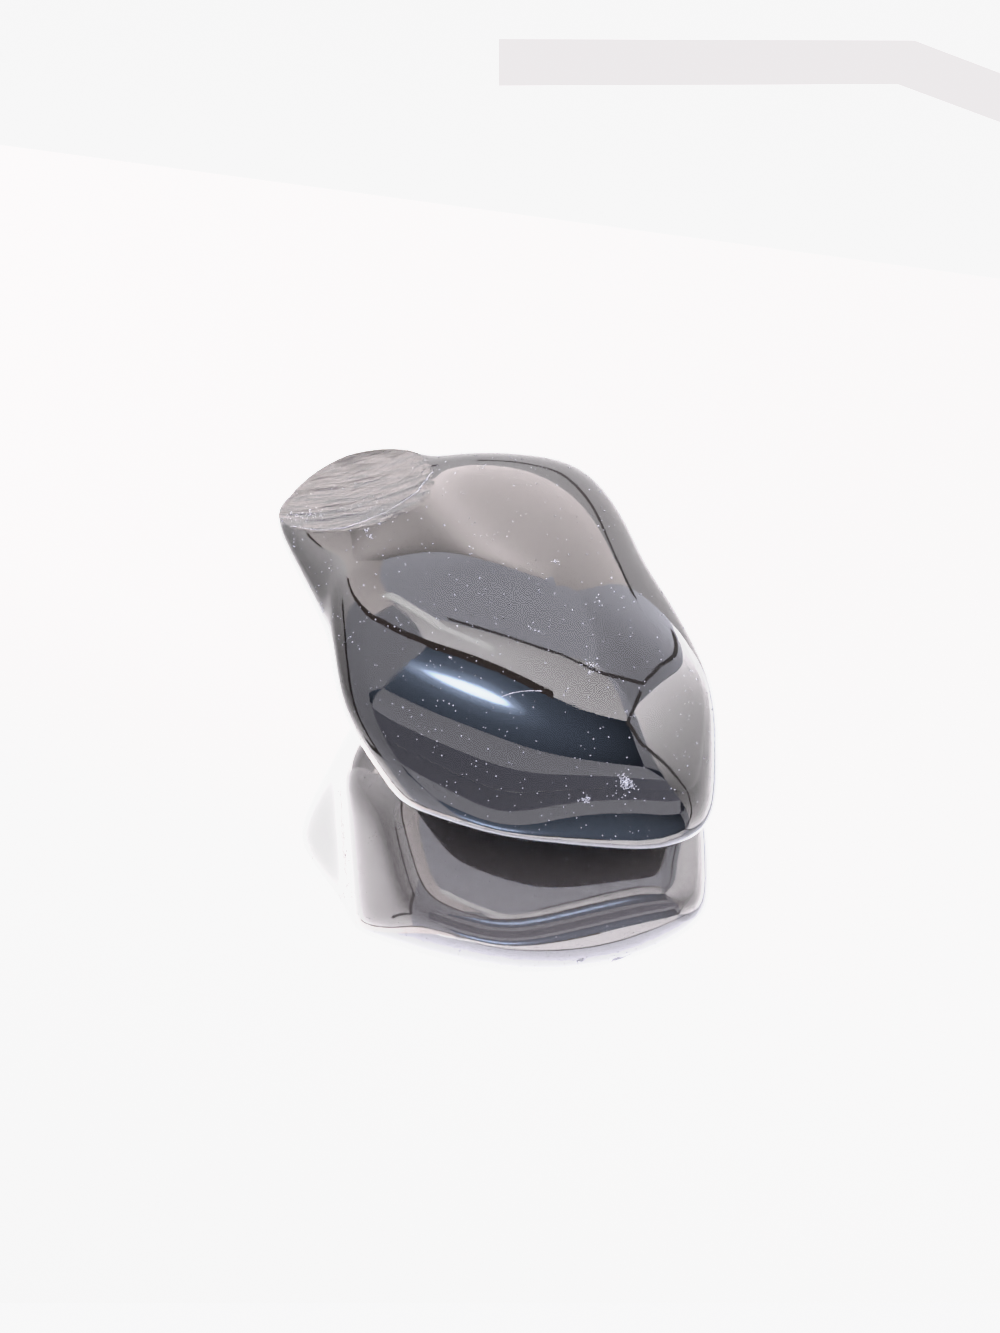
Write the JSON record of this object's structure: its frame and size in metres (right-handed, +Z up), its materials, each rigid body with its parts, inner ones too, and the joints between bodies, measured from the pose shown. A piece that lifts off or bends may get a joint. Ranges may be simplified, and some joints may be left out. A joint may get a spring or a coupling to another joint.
{
  "type": "obsidian chunk",
  "caption": "Tumbled lump of polished black volcanic glass with rounded faces, a thin wing at one side and a fresh curved chip, resting on a small flat.",
  "frame": {"origin": "middle of the footprint of the whole stone, on the surface it rests on", "axes": "+Z up, +X towards the stone's right end, +Y towards its back, away from the sloping polished face"},
  "size_m": [0.0327, 0.0298, 0.0206],
  "materials": {
    "obsidian": "tumble-polished black volcanic glass, satin on the chip"
  },
  "bodies": {
    "root": {"obsidian_chunk": "obsidian"}
  },
  "joints": []
}
